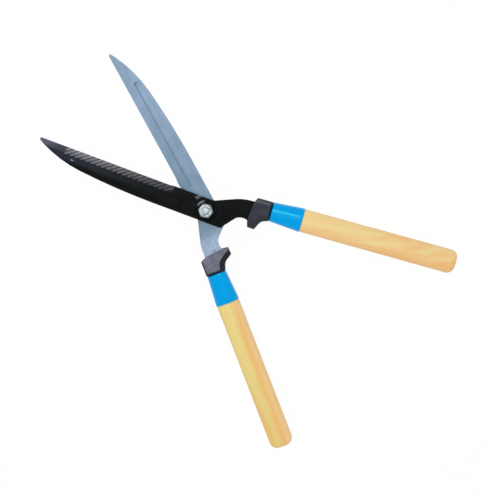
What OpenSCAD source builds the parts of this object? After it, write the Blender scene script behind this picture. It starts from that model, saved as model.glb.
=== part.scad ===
// Garden hedge shears with stamped blades, stop bumpers, steel ferrules and wood handles.
// Millimetres. The shears lie flat: +Z up, pivot axis on Z, blades towards +Y.
// The origin is the centre of the bolt head's face, which rests on the ground.
// Both halves are one and the same design: the black half is the grey one turned over about Y.
// In a half's own frame x runs towards the blade's back, y towards its tip, and z = 0 is
// the plane between the two blades.

/* [Blades] */
// Angle between the two cutting edges, as the shears lie open
opening = 41.1; // [36:0.1:70]
// Thickness of the blade steel
blade_t = 3.2; // [2.4:0.1:4]
// Running gap between the two blades
blade_gap = 0.2; // [0.1:0.05:0.4]
// Distance of the cutting edge from the pivot line
edge_offset = 13.5; // [12.5:0.1:18]
// Distance of the straight back from the pivot line
back_offset = 13.6; // [12.5:0.1:18]
// Distance in front of the pivot where the back starts to curve
back_straight = 63; // [50:1:90]
// Distance in front of the pivot where the nose curve starts
nose_start = 157; // [130:1:175]
// Radius of the gentle curve of the back
back_r = 830; // [600:10:1500]
// Radius of the nose curve
nose_r = 152; // [110:1:220]
// Rounding of the tip
tip_r = 1.8; // [1:0.1:2.4]
// Distance in front of the pivot where the ground bevel starts
bevel_start = 45.5; // [32:0.5:60]
// Extra width of the unground steel behind the bevel
edge_shoulder = 0.8; // [0.3:0.1:1.5]
// Length over which the ground edge runs out to that width
shoulder_run = 6; // [3:0.5:10]
// Width of the ground bevel
bevel_w = 7.2; // [6:0.1:10.5]
// Steel left standing at the cutting edge
edge_land = 0.9; // [0.7:0.05:1.2]
// Radius of the flat boss round the pivot
boss_r = 20.5; // [16:0.5:24]
// Height of the boss over the outer face
boss_h = 0.6; // [0.3:0.05:1]
// Width of the slope round the boss
boss_slope = 0.8; // [0.2:0.1:1.5]

/* [Stamped rib] */
// Distance in front of the pivot where the rib starts
rib_start = 32; // [26:1:45]
// Distance in front of the pivot where the rib ends
rib_end = 172; // [150:1:180]
// Distance of the rib's straight side from the pivot line, towards the edge
rib_side = 2.9; // [1:0.1:4]
// Strip left between the rib and the back
rib_margin = 4.4; // [3:0.1:5.5]
// Height of the rib outside, and depth of its hollow inside
rib_h = 0.8; // [0.4:0.05:1.1]
// Rounding of the rib's ends
rib_r = 2.4; // [1:0.1:3]
// Width of the rib's sloping walls
rib_slope = 0.9; // [0.3:0.1:1.5]

/* [Teeth of the black blade] */
// Distance in front of the pivot of the first flute, along the edge
teeth_start = 44.1; // [40:0.1:70]
// Distance in front of the pivot of the last whole flute, along the edge
teeth_end = 173.2; // [140:0.1:184]
// Distance between flutes, along the edge
tooth_pitch = 6.6; // [5.5:0.1:9]
// Angle of the flutes to the edge
flute_angle = 39; // [34:0.5:60]
// Radius of the grinding wheel's rim that cut the flutes
flute_r = 2.4; // [1.6:0.1:3]
// Depth of the flutes
flute_depth = 0.5; // [0.2:0.05:0.6]

/* [Tangs] */
// Distance of the grey blade's handle seat behind the pivot
grey_seat_back = 71.7; // [68:0.1:85]
// Distance of the black blade's handle seat behind the pivot
black_seat_back = 72.9; // [68:0.1:85]
// Distance of the handle's seat from the pivot line, towards the edge
seat_side = 25.8; // [22:0.1:29]
// Outward angle of the grey blade's handle
grey_splay = 7.7; // [3:0.1:10]
// Outward angle of the black blade's handle
black_splay = 4.9; // [3:0.1:10]
// Distance behind the pivot where the edge line turns into the tang
edge_end = 4; // [0:0.5:8]
// Rounding where the edge line turns into the tang
edge_turn_r = 12; // [4:1:20]
// Distance of the tang's outer bend in front of the seat
tang_bend = 36.2; // [32:0.2:42]
// Radius of the tang's outer bend
tang_bend_r = 60; // [30:1:80]
// Distance of the tang's outer side from the handle's axis
tang_side = 6.4; // [5:0.1:8]
// Distance of the heel behind the pivot
heel_back = 22.5; // [20:0.5:28]
// Rounding of the heel
heel_r = 1.5; // [0.5:0.1:3]
// Distance of the notch's corner behind the pivot
notch_back = 41.5; // [39:0.1:45]
// Distance of the notch's corner from the pivot line, towards the edge
notch_side = 11; // [8:0.1:13]
// Length cut off each side of the notch's corner
notch_cut = 6.5; // [2:0.1:7]
// Radius of the hand notch behind the heel
notch_r = 11.5; // [8:0.1:13]
// Distance in front of the seat where the tang's core under the horn ends
core_front = 20.4; // [16:0.1:22]
// Distance of the tang's core under the horn from the handle's axis
core_side = 20.8; // [17:0.1:21]
// Distance in front of the seat where the tang narrows to the spike
tang_narrows = 9.4; // [6:0.1:14]
// Rounding of the tang's hidden corners
tang_r = 1.5; // [0.5:0.1:3]
// Width of the spike where it leaves the tang
spike_w = 8; // [6:0.1:9]
// Width of the spike at its end
spike_end_w = 6; // [4:0.1:7]
// Length of the spike behind the seat
spike_len = 85; // [60:1:110]

/* [Bumpers] */
// Thickness of the bumper
bumper_h = 22; // [16:0.2:24]
// Length of the bumper's outer side
bumper_len = 19.3; // [16:0.1:24]
// Distance of the bumper's outer side from the handle's axis
bumper_side = 11.7; // [10.5:0.1:13.5]
// Distance from the seat to the bumper's front at the tang's outer side
bumper_front = 22; // [20:0.1:28]
// Distance from the seat to the bumper's front at the notch
bumper_brow = 24.8; // [23:0.1:29]
// Distance of the brow's corner from the handle's axis
brow_side = 18; // [15:0.1:19]
// Angle by which each horn's end face stands off the blade's line
stop_angle = 1.1; // [0.5:0.1:5]
// Distance of the horn's front ahead of the seat, measured towards the pivot
horn_front = 20.5; // [18:0.1:24]
// Distance of the horn's rear ahead of the seat, measured towards the pivot
horn_rear = 11.9; // [8:0.1:13]
// Distance of the hollow flank's corner from the handle's axis
flank_side = 14.3; // [11:0.1:16]
// Distance of the hollow flank's corner in front of the seat
flank_front = 8.6; // [6:0.1:11]
// Radius of the hollow flank
flank_r = 14; // [6:0.5:20]
// Rounding of the bumper's outer corners
bumper_r = 1.6; // [0.5:0.1:2.5]
// Bevel along the bumper's outer side
outer_bevel = 2.4; // [0.5:0.1:3.5]
// Bevel along the bumper's rear edge, next to the ferrule
rear_bevel = 1.6; // [0.3:0.1:2.5]
// Width of the slope along the hollow flank
flank_slope = 5.4; // [1:0.1:6]
// Distance by which the slope's upper edge turns ahead of the hollow flank's corner
flank_lead = 3.9; // [0:0.1:5]
// Width left of the horn's top at its end face
horn_top = 1.4; // [0.8:0.1:4]
// Height of the slope along the hollow flank and the horn
flank_drop = 7; // [4:0.1:7.5]

/* [Ferrules] */
// Length of the ferrule
ferrule_len = 38; // [28:0.5:50]
// Width of the ferrule at the bumper
ferrule_front_w = 23.4; // [21:0.1:26]
// Height of the ferrule at the bumper
ferrule_front_h = 21.6; // [19:0.1:23]
// Width of the ferrule at the wood
ferrule_rear_w = 29.3; // [28.6:0.1:32]
// Height of the ferrule at the wood
ferrule_rear_h = 24.6; // [24.2:0.1:28]
// Wall of the ferrule
ferrule_wall = 1; // [0.8:0.05:1.5]
// Rounding of the ferrule's front rim
ferrule_rim_r = 0.8; // [0.3:0.05:1]

/* [Handles] */
// Length of the handle behind the seat
handle_len = 229.8; // [180:0.2:320]
// Width of the wood behind the ferrule
handle_front_w = 28; // [26:0.1:30]
// Height of the wood behind the ferrule
handle_front_h = 23.4; // [21:0.1:25]
// Width of the wood at its end
handle_end_w = 28.8; // [26:0.1:32]
// Height of the wood at its end
handle_end_h = 24; // [21:0.1:26]
// Rounding of the wood's end
handle_end_r = 9; // [4:0.1:11]
// Squareness of the oval section, where 2 is an ellipse
section_power = 2.8; // [2:0.1:4]

/* [Pivot] */
// Diameter of the pivot bolt
bolt_d = 10; // [8:0.1:11]
// Width over the flats of the bolt head and the nut
spanner_w = 16; // [15:0.1:19]
// Diameter of the flat face inside the chamfer of the bolt head and the nut
face_d = 14.8; // [13:0.1:15.8]
// Height of the bolt head
head_h = 6.4; // [4:0.1:8]
// Diameter of the plain washer under the head
back_washer_d = 21; // [19:0.5:26]
// Thickness of the plain washer under the head
back_washer_t = 2; // [1:0.1:2.5]
// Diameter of the dished washer under the nut
front_washer_d = 26; // [21:0.5:26]
// Thickness of the dished washer at its middle
front_washer_t = 1.6; // [1:0.1:2.5]
// Thickness of the dished washer at its rim
front_washer_rim = 0.8; // [0.5:0.1:0.9]
// Height of the nut's hexagon
nut_h = 7.2; // [5:0.1:9]
// Height of the round collar on the nut
collar_h = 2.6; // [2.2:0.1:4]
// Thickness of the lip over the nylon ring
collar_lip = 0.6; // [0.3:0.1:0.9]
// Thickness of the nylon ring, on the radius
ring_t = 1.3; // [1:0.1:1.6]
// Wall of the collar
collar_wall = 0.9; // [0.6:0.1:1.2]
// Length of bolt that stands out of the nut
bolt_end = 1.6; // [0.5:0.1:4]
// Chamfer at the bolt's end
bolt_chamfer = 1; // [0.3:0.1:1.5]

/* [Fits] */
// Running clearance of the bores on the bolt, on the radius
bore_fit = 0.05; // [0.02:0.01:0.1]
// Gap that leaves the black half free under the dished washer
washer_fit = 0.05; // [0.02:0.01:0.2]
// Clearance between the wood and the ferrule
wood_fit = 0.1; // [0.05:0.01:0.2]
// Clearance of the spike's corners in the drilled hole, on the radius
spike_fit = 0.15; // [0.05:0.01:0.3]
// Room between the bumper and the wood's neck
neck_room = 1; // [0.5:0.1:3]
// Room in the drilled hole past the spike's end
spike_room = 1; // [0.5:0.1:5]
// Clearance of the nylon ring in its groove
ring_fit = 0.05; // [0.02:0.01:0.1]

/* [Hidden] */

GREY = "grey";
BLACK = "black";
round_fn = 64;
corner_steps = 6;
section_steps = 40;
// How far a cutter reaches past what it cuts
past = 1;

// Heights in a half's own frame, where the blade lies below z = 0
blade_in_z = -blade_gap / 2;
blade_out_z = blade_in_z - blade_t;
boss_z = blade_out_z - boss_h;
tang_mid_z = (blade_in_z + blade_out_z) / 2;

// Heights of the pivot over the ground
mid_z = head_h + back_washer_t - boss_z;
front_washer_z = mid_z - boss_z + washer_fit;
nut_z = front_washer_z + front_washer_t;
nut_top_z = nut_z + nut_h + collar_h;
bolt_top_z = nut_top_z + bolt_end;
bore_r = bolt_d / 2 + bore_fit;
ring_groove_r = bore_r + ring_t + ring_fit;
collar_r = ring_groove_r + collar_wall;
hole_r = norm([spike_w, blade_t]) / 2 + spike_fit;
hex_r = spanner_w / sqrt(3);

function splay(side) = side == GREY ? grey_splay : black_splay;
function seat_back(side) = side == GREY ? grey_seat_back : black_seat_back;
function unit(v) = v / norm(v);

// Points of an arc round centre c from angle a to angle b
function arc(c, r, a, b, steps) =
  [for (i = [0:steps]) let (t = a + (b - a) * i / steps) c + r * [cos(t), sin(t)]];

// Corner p, with its neighbours a and b, as an arc of radius r that touches both sides
function corner(a, p, b, r) =
  let (to_a = unit(a - p), to_b = unit(b - p))
  let (half = acos(to_a * to_b) / 2)
  let (reach = min(r / tan(half), 0.49 * norm(a - p), 0.49 * norm(b - p)))
  let (true_r = reach * tan(half))
  let (c = p + unit(to_a + to_b) * true_r / sin(half))
  let (s = p + to_a * reach - c, e = p + to_b * reach - c)
  let (from = atan2(s.y, s.x), turn = (atan2(e.y, e.x) - from + 540) % 360 - 180)
  arc(c, true_r, from, from + turn, corner_steps);

// Outline through corners [x, y, rounding]
function rounded(list) =
  let (n = len(list), xy = [for (q = list) [q.x, q.y]])
  [for (i = [0:n - 1]) each (list[i][2] > 0
    ? corner(xy[(i + n - 1) % n], xy[i], xy[(i + 1) % n], list[i][2]) : [xy[i]])];

// Corner given in the seat's frame: along the handle, towards the other handle, rounding
function seat_corner(side, along, across, r) =
  let (s = splay(side))
  [-seat_side - along * sin(s) + across * cos(s), -seat_back(side) - along * cos(s) - across * sin(s), r];

// Corner on the horn's end face, by its distance ahead of the seat
function stop_corner(side, ahead, r) =
  let (d = seat_back(side) - ahead)
  [d * sin(stop_angle), -d * cos(stop_angle), r];

// The back's curve, drawn in by a margin, as points from the straight part to the nose
nose_turn = asin((nose_start - back_straight) / back_r);
back_centre = [back_offset - back_r, back_straight];
nose_centre = back_centre + (back_r - nose_r) * [cos(nose_turn), sin(nose_turn)];
nose_end_turn = acos((-edge_offset - nose_centre.x) / nose_r);
function back_curve(margin) = arc(back_centre, back_r - margin, 0, nose_turn, 4);
function nose_curve(margin, end_turn, steps) =
  arc(nose_centre, nose_r - margin, nose_turn, end_turn, steps);

// Outline of the blade with its tang and spike
function blade_outline(side) =
  let (nose = concat(back_curve(0), nose_curve(0, nose_end_turn, 5)), n = len(nose))
  let (core = seat_corner(side, -core_front, core_side, tang_r))
  let (notch = [-notch_side, -notch_back], heel = [back_offset, -heel_back])
  let (to_core = unit([core.x, core.y] - notch), to_heel = unit(heel - notch))
  rounded(concat(
    [for (i = [0:n - 1]) [nose[i].x, nose[i].y, i == n - 1 ? tip_r : 0]],
    [[-edge_offset, bevel_start + shoulder_run, shoulder_run],
     [-edge_offset - edge_shoulder, bevel_start, shoulder_run],
     [-edge_offset - edge_shoulder, -edge_end, edge_turn_r],
     seat_corner(side, -tang_bend, -tang_side, tang_bend_r),
     seat_corner(side, -tang_narrows, -tang_side, tang_r),
     seat_corner(side, 0, -spike_w / 2, tang_r),
     seat_corner(side, spike_len, -spike_end_w / 2, tang_r),
     seat_corner(side, spike_len, spike_end_w / 2, tang_r),
     seat_corner(side, 0, spike_w / 2, tang_r),
     core,
     [each notch + notch_cut * to_core, notch_r],
     [each notch + notch_cut * to_heel, notch_r],
     [each heel, heel_r]]));

// Outline of the stamped rib, drawn in by an inset
function rib_outline(inset) =
  let (margin = rib_margin + inset, side_x = inset - rib_side)
  let (from = rib_start + inset, to = rib_end - inset)
  let (end_turn = asin((to - nose_centre.y) / (nose_r - margin)))
  let (top = concat(back_curve(margin), nose_curve(margin, end_turn, 2)), n = len(top))
  rounded(concat(
    [[back_offset - margin, from, rib_r]],
    [for (i = [0:n - 1]) [top[i].x, top[i].y, i == n - 1 ? rib_r : 0]],
    [[side_x, to, rib_r], [side_x, from, rib_r]]));

// Outline of the bumper, drawn in along its outer side and its rear, and by a share of its flank's slope
function bumper_outline(side, outer, rear, share) =
  let (flank = share * flank_slope, lead = share * flank_lead)
  let (horn = horn_rear + share * (horn_front - horn_top - horn_rear))
  rounded([
    seat_corner(side, -rear, bumper_side - flank, bumper_r),
    seat_corner(side, -flank_front - lead, flank_side - flank, flank_r),
    stop_corner(side, horn, bumper_r),
    stop_corner(side, horn_front, bumper_r),
    seat_corner(side, -bumper_brow, brow_side, flank_r),
    seat_corner(side, -bumper_front, -tang_side, bumper_r),
    seat_corner(side, -bumper_len, outer - bumper_side, bumper_r),
    seat_corner(side, -rear, outer - bumper_side, bumper_r)]);

// Signed power, for the oval section
function bend(x) = sign(x) * pow(abs(x), 2 / section_power);

// Oval ring of a given width and height, at x along the handle
function ring(x, w, h) =
  [for (i = [0:section_steps - 1]) let (a = 360 * i / section_steps)
    [x, bend(cos(a)) * w / 2, bend(sin(a)) * h / 2]];

// Width or height of a taper at x
function taper(front, rear, length, x) = front + (rear - front) * x / length;
function ferrule_w(x) = taper(ferrule_front_w, ferrule_rear_w, ferrule_len, x);
function ferrule_h(x) = taper(ferrule_front_h, ferrule_rear_h, ferrule_len, x);

// Triangles that fill a hollow outline as a strip between its two halves, by the numbers of its points
function strip_faces(n) =
  [for (i = [0:n / 2 - 2]) each [[i, i + 1, n - 1 - i], [i + 1, n - 2 - i, n - 1 - i]]];

// Closed skin over a row of rings
module skin(rings, strip = false) {
  n = len(rings[0]);
  last = len(rings) - 1;
  end = strip ? strip_faces(n) : [[for (i = [0:n - 1]) i]];
  polyhedron(
    points = [for (r = rings) each r],
    faces = concat(
      end,
      [for (f = end) [for (i = [len(f) - 1:-1:0]) last * n + f[i]]],
      [for (k = [0:last - 1], i = [0:n - 1])
        let (j = (i + 1) % n) each [[k * n + i, (k + 1) * n + j, k * n + j],
                                    [k * n + i, (k + 1) * n + i, (k + 1) * n + j]]]));
}

// Puts a half's own frame where that half lies
module place(side) {
  translate([0, 0, mid_z])
    rotate([0, side == GREY ? 0 : 180, 0])
      rotate([0, 0, -opening / 2])
        children();
}

// Puts the seat's frame, x along the handle, into a half's own frame
module seat(side) {
  translate([-seat_side, -seat_back(side), 0])
    rotate([0, 0, -90 - splay(side)])
      children();
}

// Flat plate of the blade, from one height to another
module plate(side, from_z, to_z) {
  translate([0, 0, from_z])
    linear_extrude(to_z - from_z)
      polygon(blade_outline(side));
}

// The rib as a low pad with sloping walls, from its narrow face at z to its foot and on up to to_z
module rib_pad(z, to_z) {
  function level(inset, at) = [for (q = rib_outline(inset)) [q.x, q.y, at]];
  skin([level(rib_slope, z), level(0, z + rib_h), level(0, to_z)]);
}

// Wedge of steel that the bevel takes away along the cutting edge
module bevel_cut() {
  slope = (blade_t - edge_land) / bevel_w;
  far = nose_centre.y + nose_r;
  out_x = -edge_offset - edge_shoulder - past;
  crest_x = -edge_offset + bevel_w;
  translate([0, far, 0])
    rotate([90, 0, 0])
      linear_extrude(far - bevel_start)
        polygon([[crest_x, blade_out_z],
                 [out_x, blade_out_z + slope * (crest_x - out_x)],
                 [out_x, blade_out_z - past],
                 [crest_x, blade_out_z - past]]);
}

// Row of slanting flutes across the bevel, which make the teeth, cut off square in front
module flutes() {
  tilt = atan2(blade_t - edge_land, bevel_w);
  length = 2 * bevel_w / sin(flute_angle);
  front = teeth_end + bevel_w / tan(flute_angle);
  intersection() {
    translate([-edge_offset - bevel_w, bevel_start, blade_out_z - past])
      cube([3 * bevel_w, front - bevel_start, blade_t + past]);
    for (y = [teeth_start:tooth_pitch:front])
      translate([-edge_offset, y, blade_in_z - edge_land])
        rotate([0, tilt, 0])
          translate([bevel_w / 2, bevel_w / 2 / tan(flute_angle), flute_depth - flute_r])
            rotate([0, 0, -flute_angle])
              rotate([90, 0, 0])
                cylinder(r = flute_r, h = length, center = true, $fn = round_fn);
  }
}

module blade(side) {
  difference() {
    union() {
      plate(side, blade_out_z, blade_in_z);
      rib_pad(blade_out_z - rib_h, tang_mid_z);
      intersection() {
        plate(side, boss_z, blade_out_z);
        translate([0, 0, boss_z])
          cylinder(r1 = boss_r - boss_slope, r2 = boss_r, h = boss_h, $fn = round_fn);
      }
    }
    rib_pad(blade_in_z - rib_h, past);
    bevel_cut();
    translate([0, 0, boss_z - past])
      cylinder(r = bore_r, h = blade_t + boss_h + 2 * past, $fn = round_fn);
    if (side == BLACK)
      flutes();
  }
}

// Hexagon with the chamfered corners of a bolt head, its chamfer at the foot
module hexagon(height) {
  chamfer_h = (hex_r - face_d / 2) * tan(30);
  intersection() {
    cylinder(r = hex_r, h = height, $fn = 6);
    rotate_extrude($fn = round_fn)
      polygon([[0, 0], [face_d / 2, 0], [hex_r, chamfer_h], [hex_r, height], [0, height]]);
  }
}

module grey_blade() {
  color("lightsteelblue") place(GREY) blade(GREY);
}

module black_blade() {
  color("#1c1d1f") place(BLACK) blade(BLACK);
}

module pivot_bolt() {
  color("silver") {
    hexagon(head_h);
    rotate_extrude($fn = round_fn)
      polygon([[0, head_h / 2], [bolt_d / 2, head_h / 2], [bolt_d / 2, bolt_top_z - bolt_chamfer],
               [bolt_d / 2 - bolt_chamfer, bolt_top_z], [0, bolt_top_z]]);
  }
}

module back_washer() {
  color("silver") translate([0, 0, head_h])
    difference() {
      cylinder(d = back_washer_d, h = back_washer_t, $fn = round_fn);
      translate([0, 0, -past])
        cylinder(r = bore_r, h = back_washer_t + 2 * past, $fn = round_fn);
    }
}

module front_washer() {
  crown_r = spanner_w / 2;
  color("#1c1d1f") translate([0, 0, front_washer_z])
    rotate_extrude($fn = round_fn)
      polygon([[bore_r, 0], [front_washer_d / 2, 0], [front_washer_d / 2, front_washer_rim],
               [crown_r, front_washer_t], [bore_r, front_washer_t]]);
}

module pivot_nut() {
  ring_h = collar_h - collar_lip;
  color("silver") translate([0, 0, nut_z])
    difference() {
      union() {
        translate([0, 0, nut_h]) mirror([0, 0, 1]) hexagon(nut_h);
        cylinder(r = collar_r, h = nut_h + collar_h, $fn = round_fn);
      }
      translate([0, 0, -past])
        cylinder(r = bore_r, h = nut_h + collar_h + 2 * past, $fn = round_fn);
      translate([0, 0, nut_h])
        cylinder(r = ring_groove_r, h = ring_h, $fn = round_fn);
    }
}

module nut_ring() {
  ring_h = collar_h - collar_lip - ring_fit;
  color("white") translate([0, 0, nut_z + nut_h])
    difference() {
      cylinder(r = ring_groove_r - ring_fit, h = ring_h, $fn = round_fn);
      translate([0, 0, -past])
        cylinder(r = bore_r, h = ring_h + 2 * past, $fn = round_fn);
    }
}

// Moulding on the tang, bevelled alike on both faces
module bumper(side) {
  top = bumper_h / 2;
  rim = bumper_outline(side, outer_bevel, rear_bevel, 1);
  shoulder = bumper_outline(side, 0, 0, 1 - outer_bevel / flank_drop);
  waist = bumper_outline(side, 0, 0, 0);
  function level(outline, z) = [for (q = outline) [q.x, q.y, z]];
  difference() {
    skin([level(rim, -top), level(shoulder, outer_bevel - top), level(waist, flank_drop - top),
          level(waist, top - flank_drop), level(shoulder, top - outer_bevel), level(rim, top)], strip = true);
    plate(side, blade_out_z, blade_in_z);
  }
}

module grey_bumper() {
  color("dimgray") place(GREY) bumper(GREY);
}

module black_bumper() {
  color("dimgray") place(BLACK) bumper(BLACK);
}

// Ferrule in the seat's frame, with a rounded front rim
module ferrule() {
  rim = [for (i = [0:3]) let (a = 90 * i / 3)
    let (x = ferrule_rim_r * (1 - cos(a)), inset = ferrule_rim_r * (1 - sin(a)))
    ring(x, ferrule_w(x) - 2 * inset, ferrule_h(x) - 2 * inset)];
  inner = [for (x = [-past, ferrule_len + past])
    ring(x, ferrule_w(x) - 2 * ferrule_wall, ferrule_h(x) - 2 * ferrule_wall)];
  difference() {
    skin(concat(rim, [ring(ferrule_len, ferrule_rear_w, ferrule_rear_h)]));
    skin(inner);
  }
}

module grey_ferrule() {
  color("deepskyblue") place(GREY) seat(GREY) ferrule();
}

module black_ferrule() {
  color("deepskyblue") place(BLACK) seat(BLACK) ferrule();
}

// Wood in the seat's frame: a neck inside the ferrule, the grip and its rounded end
module handle() {
  inset = 2 * (ferrule_wall + wood_fit);
  end_x = handle_len - handle_end_r;
  neck = [for (x = [neck_room, ferrule_len]) ring(x, ferrule_w(x) - inset, ferrule_h(x) - inset)];
  round_end = [for (i = [0:6]) let (a = 90 * i / 6)
    let (drawn_in = 2 * handle_end_r * (1 - cos(a)))
    ring(end_x + handle_end_r * sin(a), handle_end_w - drawn_in, handle_end_h - drawn_in)];
  difference() {
    skin(concat(neck, [ring(ferrule_len + wood_fit, handle_front_w, handle_front_h)], round_end));
    translate([0, 0, tang_mid_z])
      rotate([0, 90, 0])
        cylinder(r = hole_r, h = spike_len + spike_room, $fn = round_fn);
  }
}

module grey_handle() {
  color("burlywood") place(GREY) seat(GREY) handle();
}

module black_handle() {
  color("burlywood") place(BLACK) seat(BLACK) handle();
}

grey_blade();
black_blade();
pivot_bolt();
back_washer();
front_washer();
pivot_nut();
nut_ring();
grey_bumper();
black_bumper();
grey_ferrule();
black_ferrule();
grey_handle();
black_handle();
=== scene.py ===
"""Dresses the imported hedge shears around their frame.

The shears lie flat, +Z up, with the pivot on Z and the blades towards +Y. Sizes in the classes
are millimetres, angles are degrees, and colours are written as they show, from 0 to 255.
"""

import logging
import math
from dataclasses import dataclass
from enum import Enum, IntEnum
from typing import Callable, Mapping, Sequence

import bmesh
import bpy
from bpy.types import Material, Mesh, Node, NodeSocket, NodeTree, Object
from mathutils import Matrix, Vector


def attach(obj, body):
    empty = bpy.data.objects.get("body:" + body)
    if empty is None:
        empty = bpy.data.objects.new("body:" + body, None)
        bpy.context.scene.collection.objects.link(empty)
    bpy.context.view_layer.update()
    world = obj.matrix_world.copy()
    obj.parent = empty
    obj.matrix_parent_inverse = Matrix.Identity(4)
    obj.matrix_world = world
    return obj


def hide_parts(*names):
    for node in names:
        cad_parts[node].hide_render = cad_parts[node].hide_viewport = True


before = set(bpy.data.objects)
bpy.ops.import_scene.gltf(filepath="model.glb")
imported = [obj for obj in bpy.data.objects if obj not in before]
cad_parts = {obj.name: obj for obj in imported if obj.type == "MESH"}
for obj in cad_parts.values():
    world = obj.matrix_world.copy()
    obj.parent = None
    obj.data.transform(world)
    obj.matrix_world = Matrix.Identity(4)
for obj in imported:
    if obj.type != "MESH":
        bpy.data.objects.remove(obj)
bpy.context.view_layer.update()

LOG = logging.getLogger("shears")
MM = 0.001
MERGE = 0.002 * MM

Colour = tuple[float, float, float, float]
Range = tuple[float, float]
Row = tuple[float, float, float]
Source = NodeSocket | float | Sequence[float]
Chooser = Callable[[Vector, Vector], int]


def shown(*levels: float) -> Colour:
    """Turns red, green and blue as they show, from 0 to 255, into the linear colour for a shader."""
    shares = [level / 255 for level in levels]
    return (*(s / 12.92 if s <= 0.04045 else ((s + 0.055) / 1.055) ** 2.4 for s in shares), 1.0)


class Half(Enum):
    """The two halves of the shears, by the body that each rides on."""

    GREY = "grey_half"
    BLACK = "black_half"

    @property
    def word(self) -> str:
        """The half's word in the names of its pieces."""
        return self.name.lower()


@dataclass(frozen=True)
class Stance:
    """How the two halves lie: the black one is the grey one turned over about Y."""

    opening: float = 41.1
    mid_z: float = 12.3
    grey_seat_back: float = 71.7
    black_seat_back: float = 72.9
    seat_side: float = 25.8
    grey_splay: float = 7.7
    black_splay: float = 4.9

    def half(self, half: Half) -> Matrix:
        """The frame of a half: x to the blade's back, y to its tip."""
        turned = math.pi if half is Half.BLACK else 0.0
        lift = Matrix.Translation((0, 0, self.mid_z * MM))
        turn = Matrix.Rotation(math.radians(-self.opening / 2), 4, "Z")
        return lift @ Matrix.Rotation(turned, 4, "Y") @ turn

    def blade(self, half: Half) -> Matrix:
        """The frame of a blade: x to its tip, y to its cutting edge."""
        return self.half(half) @ Matrix.Rotation(math.pi / 2, 4, "Z")

    def seat(self, half: Half) -> Matrix:
        """The frame of a handle's seat: x along the handle, y towards the other handle."""
        black = half is Half.BLACK
        splay = self.black_splay if black else self.grey_splay
        back = self.black_seat_back if black else self.grey_seat_back
        place = Matrix.Translation((-self.seat_side * MM, -back * MM, 0))
        turn = Matrix.Rotation(math.radians(-90 - splay), 4, "Z")
        return self.half(half) @ place @ turn


STANCE = Stance()


class Wiring:
    """Adds nodes and links to one node tree."""

    def __init__(self, tree: NodeTree) -> None:
        """Holds the tree that is wired."""
        self.tree = tree

    def node(self, kind: str, feeds: Mapping[str | int, Source] | None = None, **settings: object) -> Node:
        """Adds a node.

        Args:
            kind: Blender's name for the node type.
            feeds: What goes into its inputs, by their names or numbers.
            **settings: Properties of the node, set before its inputs.

        Returns:
            The new node.
        """
        made = self.tree.nodes.new(kind)
        for name, value in settings.items():
            setattr(made, name, value)
        for key, source in (feeds or {}).items():
            self.feed(made.inputs[key], source)
        return made

    def feed(self, socket: NodeSocket, source: Source) -> None:
        """Links a socket to another one, or sets its value."""
        if isinstance(source, NodeSocket):
            self.tree.links.new(source, socket)
        else:
            socket.default_value = source

    def math(self, operation: str, *values: Source) -> NodeSocket:
        """Adds a Math node for one of Blender's operations and gives its result."""
        return self.node("ShaderNodeMath", dict(enumerate(values)), operation=operation).outputs[0]

    def times(self, first: Source, *others: Source) -> NodeSocket:
        """Multiplies several values."""
        for other in others:
            first = self.math("MULTIPLY", first, other)
        return first

    def total(self, first: Source, *others: Source) -> NodeSocket:
        """Adds several values up, held between 0 and 1."""
        for other in others:
            first = self.math("ADD", first, other)
        first.node.use_clamp = True
        return first

    def away(self, value: Source, middle: float) -> NodeSocket:
        """Gives how far a value is from a middle."""
        return self.math("ABSOLUTE", self.math("SUBTRACT", value, middle))

    def span(self, value: Source, low: Source, high: Source, *ends: float) -> NodeSocket:
        """Maps a value smoothly from low and high to two ends, which are 0 and 1 unless given."""
        feeds = dict(enumerate((value, low, high, *ends)))
        return self.node("ShaderNodeMapRange", feeds, interpolation_type="SMOOTHSTEP").outputs[0]

    def between(self, mask: Source, ends: Range) -> NodeSocket:
        """Maps a mask to a value between two ends."""
        return self.span(mask, 0.0, 1.0, *ends)

    def mix(self, share: Source, first: Source, second: Source) -> NodeSocket:
        """Mixes two colours by the share of the second."""
        # The node's colours share their names with its other sockets, so they go by number.
        return self.node("ShaderNodeMix", {0: share, 6: first, 7: second}, data_type="RGBA").outputs[2]

    def parts(self, vector: Source) -> tuple[NodeSocket, ...]:
        """Splits a vector into its x, y and z."""
        return tuple(self.node("ShaderNodeSeparateXYZ", {0: vector}).outputs)

    def join(self, *values: Source) -> NodeSocket:
        """Makes a vector of x, y and z."""
        return self.node("ShaderNodeCombineXYZ", dict(enumerate(values))).outputs[0]

    def noise(self, vector: Source, scale: Source, detail: Source) -> NodeSocket:
        """Adds a noise texture and gives its value."""
        feeds = {"Vector": vector, "Scale": scale, "Detail": detail}
        return self.node("ShaderNodeTexNoise", feeds).outputs[0]


def new_group(
    name: str, kind: str, inputs: dict[str, str], result: str
) -> tuple[Wiring, Mapping[str, NodeSocket]]:
    """Starts a node group.

    Args:
        name: Name of the group.
        kind: Shader or Geometry.
        inputs: Kind of each input, by its name.
        result: Kind of the group's one result.

    Returns:
        The group's wiring, and its inputs by name.
    """
    tree = bpy.data.node_groups.new(name, f"{kind}NodeTree")
    for label, socket in inputs.items():
        tree.interface.new_socket(label, in_out="INPUT", socket_type=f"NodeSocket{socket}")
    tree.interface.new_socket("Result", in_out="OUTPUT", socket_type=f"NodeSocket{result}")
    wiring = Wiring(tree)
    return wiring, wiring.node("NodeGroupInput").outputs


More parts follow.
